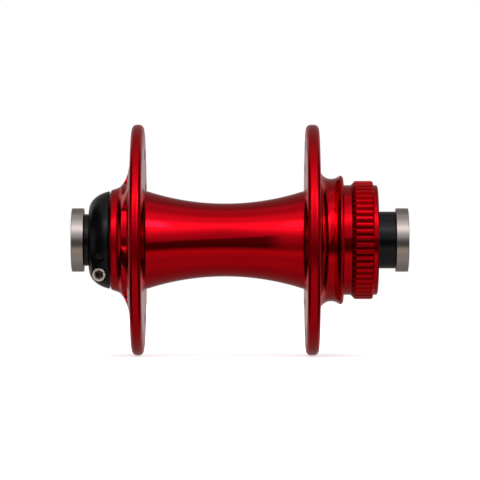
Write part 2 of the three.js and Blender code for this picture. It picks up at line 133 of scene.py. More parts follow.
def outline(corners, closed=False, steps=FINE_STEPS):
    """The stations of a polyline. Its marked corners become arcs, and shallow bends are smooth."""
    count = len(corners)
    stations = []
    for i, corner in enumerate(corners):
        if isinstance(corner, Station):
            stations.append(corner)
            continue
        ends = not closed and i in (0, count - 1)
        if len(corner) < 3 or ends:
            stations.append(Station(*corner[:2]))
            continue
        here = Vector(corner[:2])
        before = (place(corners[i - 1]) - here).normalized()
        after = (place(corners[(i + 1) % count]) - here).normalized()
        half = before.angle(after) / 2
        middle = here + (before + after).normalized() * (corner[2] / math.sin(half))
        reach = corner[2] / math.tan(half)
        start = here + before * reach - middle
        finish = here + after * reach - middle
        sweep = math.atan2(start.x * finish.y - start.y * finish.x, start.dot(finish))
        turn_sign = 1 if sweep > 0 else -1
        for k in range(steps + 1):
            angle = sweep * k / steps
            arm = Vector((start.x * math.cos(angle) - start.y * math.sin(angle),
                          start.x * math.sin(angle) + start.y * math.cos(angle)))
            normal = tuple(arm.normalized() * turn_sign)
            stations.append(Station(*(middle + arm), normal, normal))
    fill_normals(stations, closed)
    return stations


def fill_normals(stations, closed):
    smooth_bend = math.cos(math.radians(24))
    count = len(stations)
    for i, here in enumerate(stations):
        if here.before:
            continue
        past, following = stations[i - 1], stations[(i + 1) % count]
        before = side_normal((past.r, past.y), (here.r, here.y))
        after = side_normal((here.r, here.y), (following.r, following.y))
        if not closed and i == 0:
            before = after
        if not closed and i == count - 1:
            after = before
        if before[0] * after[0] + before[1] * after[1] > smooth_bend:
            mean = Vector(before) + Vector(after)
            before = after = tuple(mean.normalized())
        here.before, here.after = before, after


def cubic(points, t):
    """The point at a share t of the way along a cubic curve."""
    weights = ((1 - t) ** 3, 3 * t * (1 - t) ** 2, 3 * t * t * (1 - t), t ** 3)
    return tuple(sum(w * p[axis] for w, p in zip(weights, points)) for axis in (0, 1))


def bezier(points, steps):
    return [cubic(points, k / steps) for k in range(steps + 1)]


def even_angles(count):
    return [TAU * k / count for k in range(count)]


def about_y(r, y, angle):
    """A point at an angle from +X towards +Z."""
    return r * math.cos(angle), y, r * math.sin(angle)


# ---- mesh making

class Skin:
    """Vertices and faces in millimetres, each face corner with its own exact normal."""

    def __init__(self):
        self.points = []
        self.known = {}
        self.faces = []
        self.normals = []
        self.finishes = []

    def point(self, co):
        key = tuple(round(c, 5) for c in co)
        if key not in self.known:
            self.known[key] = len(self.points)
            self.points.append(co)
        return self.known[key]

    def face(self, indices, normals, finish=0):
        """Adds a face. Its winding follows its normals, and repeated corners are dropped."""
        kept = [(i, n) for k, (i, n) in enumerate(zip(indices, normals)) if i != indices[k - 1]]
        if len({i for i, _ in kept}) < 3:
            return
        indices, normals = [list(x) for x in zip(*kept)]
        a, b, c = (Vector(self.points[indices[k]]) for k in (0, 1, 2))
        across = (b - a).cross(c - a)
        if len(indices) == 4:
            across = (c - a).cross(Vector(self.points[indices[3]]) - b)
        if across.dot(sum((Vector(n) for n in normals), Vector())) < 0:
            indices.reverse()
            normals.reverse()
        self.faces.append(indices)
        self.normals.extend(normals)
        self.finishes.append(finish)

    def grid(self, rows, row_normals, finish=0, wrap=True):
        """Rows of points joined by faces. row_normals holds a pair per row: before it and after it."""
        indices = [[self.point(co) for co in row] for row in rows]
        width = len(rows[0])
        for k in range(len(rows) - 1):
            low, high = row_normals[k][1], row_normals[k + 1][0]
            for j in range(width if wrap else width - 1):
                m = (j + 1) % width
                corners = (indices[k][j], indices[k][m], indices[k + 1][m], indices[k + 1][j])
                self.face(corners, (low[j], low[m], high[m], high[j]), finish)
        return indices

    def turn(self, stations, angles, finish=0, wrap=True):
        """An outline turned about Y, all the way round unless wrap is off."""
        rows, normals = [], []
        for s in stations:
            rows.append([about_y(s.r, s.y, a) for a in angles])
            normals.append([[about_y(n[0], n[1], a) for a in angles] for n in (s.before, s.after)])
        self.grid(rows, normals, finish, wrap)

    def plate(self, y, facing, outer, holes, finish=0):
        """A flat face at one y, from an outer ring of (x, z) to the rings inside it."""
        loops = [[Vector((x, z, 0)) for x, z in loop] for loop in [outer, *holes]]
        flat = [p for loop in loops for p in loop]
        indices = [self.point((p.x, y, p.y)) for p in flat]
        for triangle in tessellate_polygon(loops):
            self.face([indices[k] for k in triangle], [(0, facing, 0)] * 3, finish)

    def build(self, name, materials):
        mesh = bpy.data.meshes.new(name)
        mesh.from_pydata([Vector(p) * MM for p in self.points], [], self.faces)
        for material in materials:
            mesh.materials.append(material)
        mesh.polygons.foreach_set("material_index", self.finishes)
        mesh.polygons.foreach_set("use_smooth", [True] * len(self.faces))
        mesh.normals_split_custom_set([Vector(n).normalized() for n in self.normals])
        mesh.update()
        return add_object(name, mesh)


def add_object(name, data):
    made = bpy.data.objects.new(name, data)
    bpy.context.scene.collection.objects.link(made)
    return made


def ring(r, angles):
    return [(r * math.cos(a), r * math.sin(a)) for a in angles]


def ring_piece(name, corners, materials, segments=RIM_SEGMENTS, steps=FINE_STEPS):
    """A closed outline turned into a ring-shaped piece."""
    stations = outline(corners, closed=True, steps=steps)
    skin = Skin()
    skin.turn([*stations, stations[0]], even_angles(segments))
    return skin.build(name, materials)


def circle_outline(r, y, wire, count=20):
    return [(r + wire * math.cos(a), y + wire * math.sin(a)) for a in even_angles(count)]


def facing(side, corners, y=0.0):
    """Corners written for the +Y side, moved to a height and put on either side."""
    placed = [(c[0], y + side * c[1], *c[2:]) for c in corners]
    return placed if side > 0 else placed[::-1]


# ---- holes through turned faces

def sector_edge(low, high, centre, half, along, across):
    """The outline of a sector between two radii, as (x, z): low side, far side, high side, near side."""
    polar = []
    for start, end, sense in ((low, high, 1), (high, low, -1)):
        polar += [(start, centre - sense * half + sense * 2 * half * j / along) for j in range(along)]
        polar += [(start + (end - start) * j / across, centre + sense * half) for j in range(across)]
    return [(r * math.cos(a), r * math.sin(a)) for r, a in polar]


def frame_at(r, angle):
    """A point on a circle about Y, with its outward and its forward directions, as (x, z)."""
    out = Vector((math.cos(angle), math.sin(angle)))
    return out * r, out, Vector((-out.y, out.x))


def round_hole(centre, grow, along, across):
    """A round hole's loop, in the order of sector_edge."""
    at, out, forward = frame_at(HOLE_CIRCLE_R, centre)
    turns = []
    for start, count in ((-135, along), (-45, across), (45, along), (135, across)):
        turns += [start + 90 * j / count for j in range(count)]
    r = HOLE_R + grow
    loop = []
    for turn in turns:
        angle = math.radians(turn)
        loop.append(tuple(at + r * (out * math.sin(angle) + forward * math.cos(angle))))
    return loop


def kidney_hole(centre, grow, along, across):
    """A curved slot's loop, in the order of sector_edge."""
    half_width = POCKET_HALF_WIDTH + grow
    half = POCKET_HALF_ANGLE
    loop = []
    for low_side in (True, False):
        r = POCKET_MIDDLE_R + (-half_width if low_side else half_width)
        sense = 1 if low_side else -1
        for j in range(along):
            loop.append(tuple(frame_at(r, centre + sense * half * (2 * j / along - 1))[0]))
        at, out, forward = frame_at(POCKET_MIDDLE_R, centre + sense * half)
        for j in range(across):
            angle = math.radians(-90 + 180 * j / across)
            arm = sense * (out * math.sin(angle) + forward * math.cos(angle))
            loop.append(tuple(at + half_width * arm))
    return loop


def pierced(skin, radii, count, first, hole, edge, surface, across, finish=0, steps=5):
    """A turned face between two radii, with the same hole in each of its equal sectors."""
    half = math.pi / count
    along = RIM_SEGMENTS // count
    for i in range(count):
        centre = first + 2 * half * i
        rim = sector_edge(*radii, centre, half, along, across)
        mouth = hole(centre, edge, along, across)
        rows, normals = [], []
        for k in range(steps + 1):
            share = k / steps
            flat = [(a[0] + (b[0] - a[0]) * share, a[1] + (b[1] - a[1]) * share) for a, b in zip(mouth, rim)]
            placed = [lift(p, surface) for p in flat]
            rows.append([p for p, _ in placed])
            normals.append([[n for _, n in placed]] * 2)
        skin.grid(rows, normals, finish)


def lift(point, surface):
    """A flat (x, z) point on a turned surface, with the surface's normal there."""
    r = math.hypot(*point)
    y, normal = surface(r)
    return (point[0], y, point[1]), (normal[0] * point[0] / r, normal[1], normal[0] * point[1] / r)


def towards_hole(loop):
    """The in-plane normals of a hole's loop, which point into the hole."""
    middle = sum((Vector(p) for p in loop), Vector((0, 0))) / len(loop)
    normals = []
    for j, p in enumerate(loop):
        tangent = Vector(loop[(j + 1) % len(loop)]) - Vector(loop[j - 1])
        normal = Vector((tangent.y, -tangent.x)).normalized()
        normals.append(normal)
    inward = sum(n.dot(middle - Vector(p)) for n, p in zip(normals, loop))
    return normals if inward > 0 else [-n for n in normals]


def walls(skin, make_loop, corners, finish=0, faces=None):
    """A hole's walls. Corners are (how far outside the hole's own outline, y) and run towards -Y.

    With a pair of faces, lower and upper, the walls' ends follow them.
    """
    start, end = corners[0][1], corners[-1][1]
    rows, normals = [], []
    for s in outline(corners, steps=3):
        loop = make_loop(s.r)
        facing_in = towards_hole(loop)
        row = []
        for x, z in loop:
            y = s.y
            if faces:
                share = (s.y - end) / (start - end)
                r = math.hypot(x, z)
                y += (faces[1](r)[0] - start) * share + (faces[0](r)[0] - end) * (1 - share)
            row.append((x, y, z))
        rows.append(row)
        pair = []
        for side, along in (s.before, s.after):
            pair.append([(-side * n.x, along, -side * n.y) for n in facing_in])
        normals.append(pair)
    skin.grid(rows, normals, finish)


# ---- the hub shell

# the shell's rings start where a pocket's sector starts
RING_START = math.radians(-18.4)
RING = [RING_START + a for a in even_angles(RIM_SEGMENTS)]
BOSS_SWEEP = ((15.35, -36.6), (15.9, -34.2), (21.5, -32.6), (27.0, LEFT_FLANGE["outboard"]))
HOLE_ZONE = (27.0, 30.7)
HOLE_ENDS = 8
POCKET_ZONE = (15.8, 21.3)
POCKET_ENDS = 16
LIP_STEPS = 4


def boss_surface(r):
    """The height and the normal of the sweep from the boss to the left flange."""
    low, high = 0.0, 1.0
    for _ in range(40):
        t = (low + high) / 2
        if cubic(BOSS_SWEEP, t)[0] < r:
            low = t
        else:
            high = t
    y = cubic(BOSS_SWEEP, low)[1]
    return y, side_normal(cubic(BOSS_SWEEP, low - 0.01), cubic(BOSS_SWEEP, low + 0.01))


def boss_stations(low, high, count):
    """Stations along the boss's sweep, between two radii."""
    stations = []
    for k in range(count + 1):
        r = low + (high - low) * k / count
        y, normal = boss_surface(r)
        stations.append(Station(r, y, normal, normal))
    return stations


def barrel_stations(count=64):
    """The barrel's shallow arc, with its exact normals."""
    low = LEFT_FLANGE["inboard"] - FLANGE_DISH + 0.9 * ROOT_FILLET
    high = RIGHT_FLANGE["inboard"] + FLANGE_DISH - 0.9 * ROOT_FILLET
    stations = []
    for k in range(count + 1):
        y = low + (high - low) * k / count
        tilt = math.asin((WAIST_Y - y) / BARREL_ARC_R)
        normal = (math.cos(tilt), math.sin(tilt))
        stations.append(Station(WAIST_R + BARREL_ARC_R * (1 - math.cos(tilt)), y, normal, normal))
    return stations


def barrel_r(y):
    """The radius of the barrel's arc."""
    return WAIST_R + BARREL_ARC_R - math.sqrt(BARREL_ARC_R ** 2 - (y - WAIST_Y) ** 2)


def inner_face(flange):
    """A flange's dished inner face, which leans away from the barrel towards the root."""
    away = 1 if flange["outboard"] > flange["inboard"] else -1
    slope = FLANGE_DISH / (FLANGE_R - DISH_ROOT_R)
    length = math.hypot(1, slope)

    def surface(r):
        return flange["inboard"] + away * slope * (FLANGE_R - r), (-slope / length, -away / length)

    return surface


def outer_face(flange):
    """A flange's flat outer face."""
    away = 1 if flange["outboard"] > flange["inboard"] else -1
    return lambda r: (flange["outboard"], (0, away))


def shell_boss(skin):
    """The adjuster side's boss, and its sweep to the flange with the relief pockets."""
    low, high = POCKET_ZONE
    skin.turn(
        outline([
            (BEARING_BORE_R, SHELL_LOW.y + 0.6),
            (BEARING_BORE_R, SHELL_LOW.y + 0.25),
            (BEARING_BORE_R + 0.25, SHELL_LOW.y),
            (14.75, SHELL_LOW.y, 0.8),
            *boss_stations(BOSS_SWEEP[0][0], low, 8),
        ]),
        RING,
        TURNED,
    )
    pierced(skin, POCKET_ZONE, POCKET_COUNT, POCKET_CENTRE, kidney_hole, POCKET_EDGE, boss_surface,
            POCKET_ENDS)
    skin.turn(boss_stations(high, BOSS_SWEEP[-1][0], 12), RING)
    for i in range(POCKET_COUNT):
        pocket(skin, POCKET_CENTRE + TAU * i / POCKET_COUNT)


def pocket(skin, centre):
    """A relief pocket: its rounded lip on the sweep, its wall and its floor."""
    def loop_at(grow):
        return kidney_hole(centre, grow, RIM_SEGMENTS // POCKET_COUNT, POCKET_ENDS)

    rows, normals = [], []
    for k in range(LIP_STEPS + 1):
        angle = math.pi / 2 * k / LIP_STEPS
        loop = loop_at(POCKET_EDGE * (1 - math.cos(angle)))
        lifted = [lift(p, boss_surface) for p in loop]
        drop = POCKET_EDGE * (1 - math.sin(angle))
        rows.append([(x, y + drop, z) for (x, y, z), _ in lifted])
        mixed = []
        for inward, (_, surface) in zip(towards_hole(loop), lifted):
            wall = Vector((inward.x, 0, inward.y)) * math.cos(angle)
            mixed.append(tuple((wall + Vector(surface) * math.sin(angle)).normalized()))
        normals.append([mixed, mixed])
    skin.grid(rows, normals)
    floor_fillet = 0.3
    foot_y = POCKET_FLOOR_Y - floor_fillet
    foot = [(x, foot_y, z) for x, z in loop_at(0)]
    inward = [(n.x, 0, n.y) for n in towards_hole(loop_at(0))]
    skin.grid([rows[0], foot], [[inward, inward]] * 2)
    walls(skin, loop_at, [(-floor_fillet, POCKET_FLOOR_Y), (0, POCKET_FLOOR_Y, floor_fillet), (0, foot_y)])
    skin.plate(POCKET_FLOOR_Y, -1, loop_at(-floor_fillet), [])


def flange_faces(skin, flange):
    """A flange's two faces outside the root, its rounded rim and its spoke holes."""
    first = math.radians(flange["first_hole"])
    low, high = sorted((inner_face(flange), outer_face(flange)), key=lambda face: face(HOLE_CIRCLE_R)[0])
    for face in (low, high):
        pierced(skin, HOLE_ZONE, HOLE_COUNT, first, round_hole, HOLE_EDGE, face, HOLE_ENDS)
    edge_r = HOLE_ZONE[1]
    skin.turn(
        outline([
            (edge_r, low(edge_r)[0]),
            (FLANGE_R, low(FLANGE_R)[0], FLANGE_CORNER),
            (FLANGE_R, high(FLANGE_R)[0], FLANGE_CORNER),
            (edge_r, high(edge_r)[0]),
        ], steps=14),
        RING,
        TURNED,
    )
    for i in range(HOLE_COUNT):
        centre = first + TAU * i / HOLE_COUNT

        def loop_at(grow, centre=centre):
            return round_hole(centre, grow, RIM_SEGMENTS // HOLE_COUNT, HOLE_ENDS)

        # the spoke holes' walls take the darker red, painted shade
        walls(skin, loop_at, spoke_hole_corners(low, high), GROOVE_SHADE, (low, high))


def spoke_hole_corners(low, high):
    """A spoke hole's countersunk mouths and its wall."""
    edge = HOLE_EDGE
    bottom, top = low(HOLE_CIRCLE_R)[0], high(HOLE_CIRCLE_R)[0]
    return [(edge, top), (0.0, top - edge, 0.15), (0.0, bottom + edge, 0.15), (edge, bottom)]


def shell_barrel(skin):
    """The waisted barrel, its root fillets and the flanges' inner faces below the spoke holes."""
    left, right = inner_face(LEFT_FLANGE), inner_face(RIGHT_FLANGE)
    rim = HOLE_ZONE[0]
    left_root, right_root = barrel_r(LEFT_FLANGE["inboard"]), barrel_r(RIGHT_FLANGE["inboard"])
    skin.turn(
        outline([
            (rim, left(rim)[0]),
            (left_root, left(left_root)[0], ROOT_FILLET),
            *barrel_stations(),
            (right_root, right(right_root)[0], ROOT_FILLET),
            (rim, right(rim)[0]),
        ], steps=14),
        RING,
    )


def spline_columns():
    """One tooth's (share of the pitch, radius), repeated round the hub, with the in-plane normals."""
    tip, root = TOOTH_TIP_R, TOOTH_ROOT_R
    half_tooth = [(0.18, tip), (0.215, tip - 0.03), (0.245, tip - 0.11), (0.285, root + 0.16),
                  (0.31, root + 0.05), (0.35, root)]
    tooth = [(-0.5, root), *[(-share, r) for share, r in half_tooth[::-1]], (0.0, tip), *half_tooth]
    angles, radii = [], []
    for k in range(TEETH):
        for share, r in tooth:
            angles.append(FIRST_TOOTH + TAU * (k + share) / TEETH)
            radii.append(r)
    count = len(angles)
    points = [Vector((r * math.cos(a), r * math.sin(a))) for r, a in zip(radii, angles)]
    normals = []
    for j in range(count):
        pieces = [points[j] - points[j - 1], points[(j + 1) % count] - points[j]]
        normal = sum((Vector((p.y, -p.x)).normalized() for p in pieces), Vector((0, 0)))
        normals.append(normal.normalized())
    return angles, radii, normals


TAPER_ROWS = 14
END_ROWS = 6


def spline_envelope():
    """The rows of the teeth: (y, the radius that the tapered ends allow, that taper's normal)."""
    start_rise, end_drop = 1.3, 0.5
    top = TOOTH_TIP_R + 0.1
    start_normal = side_normal((PILOT_R, 0), (top, start_rise))
    end_normal = side_normal((top, 0), (top - 0.45, end_drop))
    rows = []
    for k in range(TAPER_ROWS):
        share = k / (TAPER_ROWS - 1)
        rows.append((SPLINE_START + start_rise * share, PILOT_R + (top - PILOT_R) * share, start_normal))
    for k in range(END_ROWS):
        share = k / (END_ROWS - 1)
        rows.append((SPLINE_END - end_drop * (1 - share), top - 0.45 * share, end_normal))
    return rows


def shell_spline(skin, angles, radii, normals):
    """The spline's teeth, cut off by the tapers at both of their ends."""
    rows = spline_envelope()
    count = len(angles)
    grid, cut = [], []
    for y, limit, _ in rows:
        grid.append([about_y(min(r, limit), y, a) for r, a in zip(radii, angles)])
        cut.append([limit < r for r in radii])
    profile = [(n.x, 0, n.y) for n in normals]
    for k in range(len(rows) - 1):
        at_start = k < TAPER_ROWS - 1
        taper = [about_y(*rows[k + 1 if at_start else k][2], a) for a in angles]
        for j in range(count):
            m = (j + 1) % count
            places = ((k, j), (k, m), (k + 1, m), (k + 1, j))
            indices = [skin.point(grid[row][column]) for row, column in places]
            clipped = [cut[row][column] for row, column in places]
            if all(clipped):
                around = [taper[column] for _, column in places]
            elif not any(clipped):
                around = [profile[column] for _, column in places]
            else:
                corners = [Vector(grid[row][column]) for row, column in places]
                flat = (corners[2] - corners[0]).cross(corners[3] - corners[1])
                if flat.length < 1e-9:
                    continue
                outside = Vector((corners[0].x, 0, corners[0].z))
                flat = flat if flat.dot(outside) > 0 else -flat
                around = [tuple(flat.normalized())] * 4
            # faces in the grooves, and the start taper's cut ends, take the darker red painted as shade
            in_groove = max(radii[j], radii[m]) < TOOTH_ROOT_R + 0.1 or (at_start and all(clipped))
            skin.face(indices, around, GROOVE_SHADE if in_groove else TURNED)
    end_face = [grid[-1], [about_y(PILOT_R, SPLINE_END, a) for a in angles]]
    outboard = [(0, 1, 0)] * count
    skin.grid(end_face, [[outboard, outboard]] * 2)


def shell_rotor_mount(skin):
    """The rotor side, from the flange out: neck, lip, rotor seat, pilot band, spline and end ring."""
    angles, radii, normals = spline_columns()
    y = RIGHT_FLANGE["outboard"]
    neck_root_r, neck_r, neck_y = 21.8, 18.2, 27.0
    neck = bezier(((21.6, y), (19.4, 23.9), (neck_r, 25.4), (neck_r, neck_y)), 10)
    lip = bezier(((neck_r, neck_y), (neck_r, 27.9), (18.45, 28.6), (SEAT_R - 0.05, 29.6)), 10)
    skin.turn(outline([(HOLE_ZONE[0], y), (neck_root_r, y)]), RING)
    skin.turn(outline([(neck_root_r, y), *neck, *lip[1:]]), RING)
    seat_rim = SEAT_R - 0.75
    skin.turn(
        outline([
            lip[-1],
            (SEAT_R, 29.75, 0.06),
            (SEAT_R, 30.02, 0.1),
            (SEAT_R - 0.4, SEAT_Y - 0.12, 0.15),
            (seat_rim, SEAT_Y),
        ], steps=4),
        RING,
        TURNED,
    )
    skin.plate(SEAT_Y, 1, ring(seat_rim, RING), [ring(PILOT_R, angles)], TURNED)
    skin.turn(outline([(PILOT_R, SEAT_Y), (PILOT_R, SPLINE_START)]), angles)
    shell_spline(skin, angles, radii, normals)
    end = SHELL_HIGH.y
    end_r = PILOT_R - 0.6
    skin.turn(outline([(PILOT_R, SPLINE_END), (PILOT_R, end, 0.5), (end_r, end)]), angles)
    skin.plate(end, 1, ring(end_r, angles), [ring(LOCKRING_R + LOCKRING_BEVEL, RING)], TURNED)


THREAD_ROWS = 8


def thread(skin, r, low, high, pitch, depth, angles, sign, finish=0):
    """A rounded screw thread that fades out at both ends. sign is 1 on a bolt and -1 in a bore."""
    count = max(THREAD_ROWS, round((high - low) / pitch * THREAD_ROWS))
    fade = 1.2 * pitch
    rows, normals = [], []
    for k in range(count + 1):
        y = low + (high - low) * k / count
        strength = depth * max(0.0, min(1.0, (y - low) / fade, (high - y) / fade))
        row, row_normals = [], []
        for a in angles:
            phase = TAU * y / pitch - a
            here = r - sign * strength * (1 - math.cos(phase)) / 2
            slope = sign * strength * math.sin(phase) / 2
            side = Vector((math.cos(a), slope * TAU / pitch, math.sin(a)))
            side += Vector((math.sin(a), 0, -math.cos(a))) * (slope / here)
            row.append(about_y(here, y, a))
            row_normals.append(tuple(side.normalized() * sign))
        rows.append(row)
        normals.append([row_normals, row_normals])
    skin.grid(rows, normals, finish)


def shell_inside(skin):
    """The lockring's thread, the two bearing seats and the bore between them."""
    end = SHELL_HIGH.y
    thread_low, thread_high = 34.4, end - 0.7
    skin.turn(outline([
        (LOCKRING_R + LOCKRING_BEVEL, end),
        (LOCKRING_R, end - LOCKRING_BEVEL),
        (LOCKRING_R, thread_high),
    ]), RING, TURNED)
    thread(skin, LOCKRING_R, thread_low, thread_high, 1.0, 0.32, RING, -1, TURNED)
    skin.turn(
        outline([
            (LOCKRING_R, thread_low),
            (LOCKRING_R, 33.0),
            (BEARING_BORE_R, 33.0, 0.2),
            (BEARING_BORE_R, 27.8),
            (BEARING_STOP_R, 27.8, 0.2),
            (BEARING_STOP_R, 22.0),
            (SHELL_BORE_R, 13.0),
            (SHELL_BORE_R, -20.0),
            (BEARING_STOP_R, -29.0),
            (BEARING_STOP_R, -32.6, 0.2),
            (BEARING_BORE_R, -32.6),
            (BEARING_BORE_R, SHELL_LOW.y + 0.6),
        ]),
        RING,
        TURNED,
    )


def hub_shell():
    skin = Skin()
    shell_boss(skin)
    flange_faces(skin, LEFT_FLANGE)
    shell_barrel(skin)
    flange_faces(skin, RIGHT_FLANGE)
    shell_rotor_mount(skin)
    shell_inside(skin)
    # the third material is the darker red painted as shade in the grooves and holes
    made = skin.build("hub_shell_fine", [RED_POLISHED, RED_TURNED, RED_GROOVE_SHADE])
    stands_for(made, "hub_shell", "shell_body")


def stands_for(piece, node, body):
    """Puts a detailed piece in a CAD node's place."""
    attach(piece, body)
    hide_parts(node)


# ---- axle, caps, O-rings and cone

AXLE_LOW, AXLE_HIGH = millimetres("axle")
AXLE_SEGMENTS = 96
THREAD_R = 7.7
JOURNAL_R = 8.46
TUBE_R = 8.3
TUBE_BORE_R = 6.3
SHOULDER_R = 9.3
SHOULDER_Y = 27.87
CAP_SOCKET_R = 6.85
CAP_SOCKET_DEPTH = 10.5
CAP_SPIGOT_R = 6.8
CAP_BORE_R = 6.05
CAP_R = 9.45
CAP_HEAD = {-1: 3.65, 1: 3.75}


def axle():
    """The axle's tube: the clamp's thread, the bearings' seats and the caps' sockets."""
    angles = even_angles(AXLE_SEGMENTS)
    low, high = AXLE_LOW.y, AXLE_HIGH.y
    thread_low, thread_high = -45.3, -32.7
    skin = Skin()
    thread(skin, THREAD_R, thread_low, thread_high, 1.0, 0.4, angles, 1)
    skin.turn(
        outline([
            (THREAD_R, thread_high),
            (TUBE_R, -31.6),
            (TUBE_R, 24.0),
            (SHOULDER_R, 25.0),
            (SHOULDER_R, SHOULDER_Y, 0.2),
            (JOURNAL_R, SHOULDER_Y),
            (JOURNAL_R, high, 0.3),
            (CAP_SOCKET_R, high, 0.15),
            (CAP_SOCKET_R, high - CAP_SOCKET_DEPTH),
            (TUBE_BORE_R, high - CAP_SOCKET_DEPTH),
            (TUBE_BORE_R, low + CAP_SOCKET_DEPTH),
            (CAP_SOCKET_R, low + CAP_SOCKET_DEPTH),
            (CAP_SOCKET_R, low, 0.15),
            (THREAD_R, low, 0.25),
            (THREAD_R, thread_low),
        ]),
        angles,
    )
    stands_for(skin.build("axle_fine", [BLACK_ANODISED]), "axle", "axle_body")


def end_cap(label, side):
    """A push-in end cap, with its O-ring in a groove of its spigot."""
    node = f"{label}_end_cap"
    low, high = millimetres(node)
    outer = max(-low.y, high.y)
    inner = outer - CAP_HEAD[side]
    spigot_end = min(abs(low.y), abs(high.y))
    groove = inner - 7.6
    corners = [
        (CAP_BORE_R, spigot_end, 0.15),
        (CAP_SPIGOT_R, spigot_end, 0.3),
        (CAP_SPIGOT_R, groove - 0.3),
        (CAP_SPIGOT_R - 0.5, groove - 0.3, 0.1),
        (CAP_SPIGOT_R - 0.5, groove + 0.3, 0.1),
        (CAP_SPIGOT_R, groove + 0.3),
        (CAP_SPIGOT_R, inner, 0.1),
        (CAP_R, inner, 0.18),
        (CAP_R, outer, 0.28),
        (CAP_BORE_R, outer, 0.35),
    ]
    made = ring_piece(f"{node}_fine", facing(side, corners), [BARE_METAL], 192, 5)
    stands_for(made, node, f"{label}_cap_body")
    o_ring(f"{node}_o_ring", f"{label}_cap_body")


def o_ring(node, body):
    """An O-ring as high as its CAD solid, whose section is flat-sided."""
    low, high = millimetres(node)
    wire = (high.y - low.y) / math.sqrt(3)
    middle = (high.y + low.y) / 2
    made = ring_piece(f"{node}_fine", circle_outline(high.z - wire, middle, wire), [RUBBER], 96)
    stands_for(made, node, body)


def adjusting_cone():
    low, high = millimetres("adjusting_cone")
    race_face = -37.73
    corners = [
        (7.76, low.y, 0.15),
        (high.z, low.y, 0.2),
        (high.z, race_face, 0.15),
        (8.44, race_face),
        (8.44, high.y, 0.3),
        (7.76, high.y, 0.15),
    ]
    made = ring_piece("adjusting_cone_fine", corners, [BARE_METAL], 128, 3)
    stands_for(made, "adjusting_cone", "axle_body")


# ---- adjusting clamp and pinch screw

CLAMP_LOW, CLAMP_HIGH = millimetres("adjusting_clamp")
CLAMP_R = 14.5
CLAMP_BORE_R = 7.76
SLIT_WIDTH = 0.9
SLIT_TOP_Z = -7.1
SCREW_LOW, SCREW_HIGH = millimetres("pinch_screw")
SCREW_Y = (SCREW_LOW.y + SCREW_HIGH.y) / 2
SCREW_Z = (SCREW_LOW.z + SCREW_HIGH.z) / 2
SCREW_HEAD_X = (5.3, SCREW_HIGH.x)
SCREW_SHANK_R = 1.2
SOCKET_R = 2.4 / math.sqrt(3)
SOCKET_DEPTH = 1.7
SOCKET_LIP = 0.2
SOCKET_SIDE_STEPS = 12
SCREW_SEGMENTS = 6 * SOCKET_SIDE_STEPS
# the socket's dark brown, painted shade on its walls and floor, by its place in the screw's list of materials
SOCKET_SHADE_FINISH = 1


def cutter(name, skin):
    return skin.build(name, [])


def carve(piece, cutters, sharp_angle=30):
    """Cuts the cutters out of a piece, and shades it with its flat faces flat and its curves smooth."""
    for tool in cutters:
        cut = piece.modifiers.new("cut", "BOOLEAN")
        cut.object = tool
        cut.operation = "DIFFERENCE"
        cut.solver = "EXACT"
    shade(piece, sharp_angle)
    for tool in cutters:
        bpy.data.objects.remove(tool)


def shade(piece, sharp_angle):
    """Applies a piece's modifiers, then weights its normals by face area."""
    graph = bpy.context.evaluated_depsgraph_get()
    mesh = bpy.data.meshes.new_from_object(piece.evaluated_get(graph))
    piece.modifiers.clear()
    piece.data = mesh
    if "custom_normal" in mesh.attributes:
        mesh.attributes.remove(mesh.attributes["custom_normal"])
    mesh.polygons.foreach_set("use_smooth", [True] * len(mesh.polygons))
    mesh.set_sharp_from_angle(angle=math.radians(sharp_angle))
    weighted = piece.modifiers.new("weighted", "WEIGHTED_NORMAL")
    weighted.keep_sharp = True
    graph = bpy.context.evaluated_depsgraph_get()
    piece.data = bpy.data.meshes.new_from_object(piece.evaluated_get(graph))
    piece.modifiers.clear()


def rod(start, direction, corners, segments=48):
    """A solid turned about any line. Corners are (radius, distance along the line), from start to end."""
    along = Vector(direction).normalized()
    skin = Skin()
    skin.turn(outline([(0.0, corners[0][1]), *corners, (0.0, corners[-1][1])]), even_angles(segments))
    turn = Vector((0, 1, 0)).rotation_difference(along)
    skin.points = [tuple(Vector(start) + turn @ Vector(p)) for p in skin.points]
    skin.normals = [tuple(turn @ Vector(n)) for n in skin.normals]
    return skin


def slit_cutter():
    """A flat slot below the bore, flared a little where it comes out at the rim."""
    skin = Skin()
    half, flare = SLIT_WIDTH / 2, 0.48
    low, high = CLAMP_LOW.y - 1, CLAMP_HIGH.y + 1
    bottom = -CLAMP_R - 0.6
    section = [(half, low), (half, high), (-half, high), (-half, low)]
    levels = [(SLIT_TOP_Z, 0.0), (-CLAMP_R + 0.35, 0.0), (bottom, flare)]
    rows = []
    for z, wider in levels:
        rows.append([(x + math.copysign(wider, x), y, z) for x, y in section])
    around = []
    for j in range(4):
        a, b = section[j], section[(j + 1) % 4]
        around.append(side_normal(a, b))
    for k in range(len(rows) - 1):
        for j in range(4):
            m = (j + 1) % 4
            corners = [rows[k][j], rows[k][m], rows[k + 1][m], rows[k + 1][j]]
            skin.face([skin.point(p) for p in corners], [(-around[j][0], -around[j][1], 0)] * 4)
    for row, up in ((rows[0], 1), (rows[-1], -1)):
        skin.face([skin.point(p) for p in row], [(0, 0, up)] * 4)
    made = cutter("slit_cutter", skin)
    fix_winding(made)
    return made


def fix_winding(made):
    """Makes a closed mesh's faces wind one way, outwards."""
    work = bmesh.new()
    work.from_mesh(made.data)
    bmesh.ops.recalc_face_normals(work, faces=work.faces)
    work.to_mesh(made.data)
    work.free()


